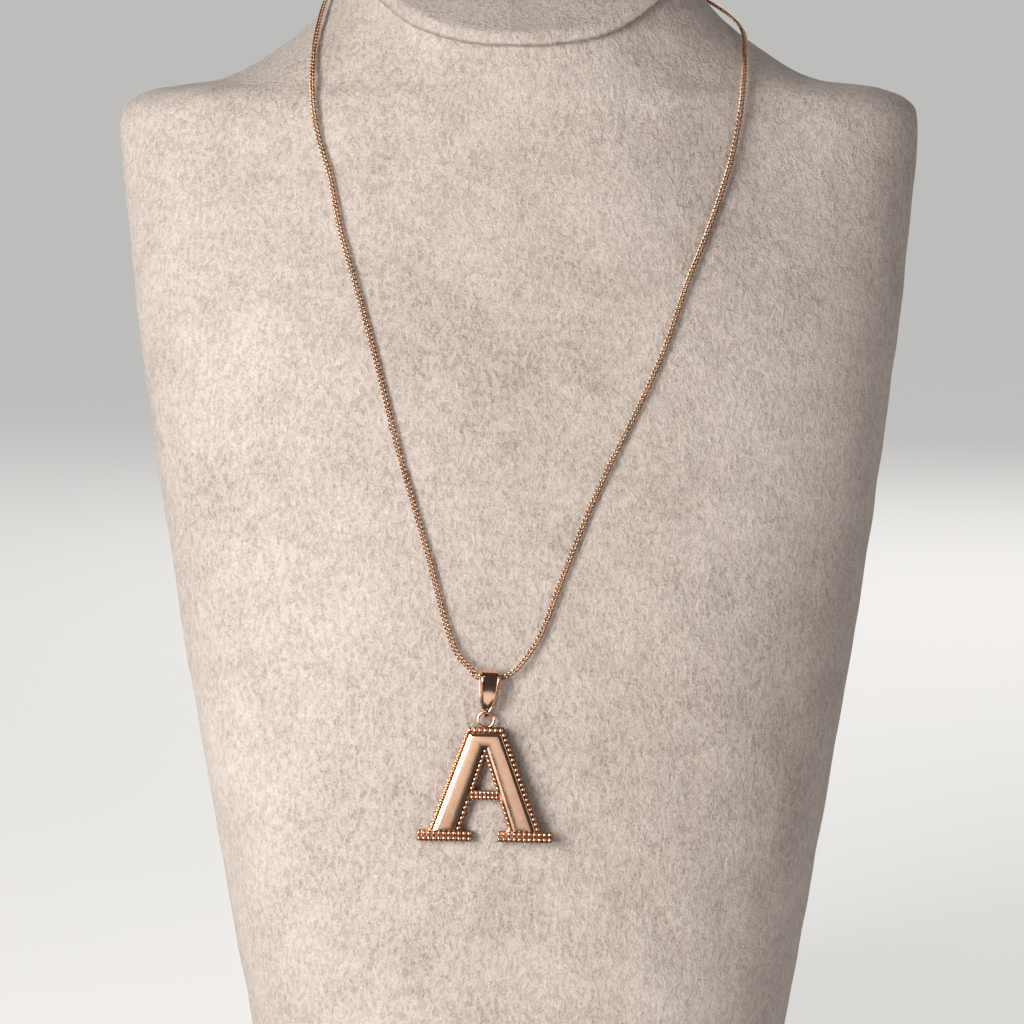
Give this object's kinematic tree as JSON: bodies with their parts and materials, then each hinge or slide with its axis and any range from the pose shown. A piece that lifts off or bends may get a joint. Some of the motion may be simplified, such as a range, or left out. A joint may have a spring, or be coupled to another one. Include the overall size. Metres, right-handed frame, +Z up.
{
  "type": "initial pendant necklace on a neck bust",
  "caption": "Serif letter A pendant with beaded rims, hung by a tapered bail on a fine curb chain that a plain velvet neck bust wears.",
  "frame": {"origin": "centre of the bust's base, on the surface that it stands on", "axes": "+Z up, +X to the viewer's right when the letter is seen from the front, the letter faces -Y"},
  "size_m": [0.1996, 0.119, 0.319],
  "materials": {
    "velvet": "short warm grey velvet pile",
    "rose_gold": "polished rose gold plating"
  },
  "bodies": {
    "stand": {"bust": "velvet", "chain": "rose_gold", "clasp": "rose_gold"},
    "bail": {"bail": "rose_gold"},
    "letter": {"letter": "rose_gold"}
  },
  "joints": [
    {"name": "bail_swing", "type": "hinge", "parent": "stand", "child": "bail", "pos_m": [-0.0071, -0.05069, 0.11861], "axis": [-0.9811, -0.173, 0.0872], "range_deg": [0, 60]},
    {"name": "letter_swing", "type": "hinge", "parent": "bail", "child": "letter", "pos_m": [-0.00782, -0.05075, 0.11036], "axis": [-0.9945, 0.1045, 0], "range_deg": [0, 90]}
  ]
}
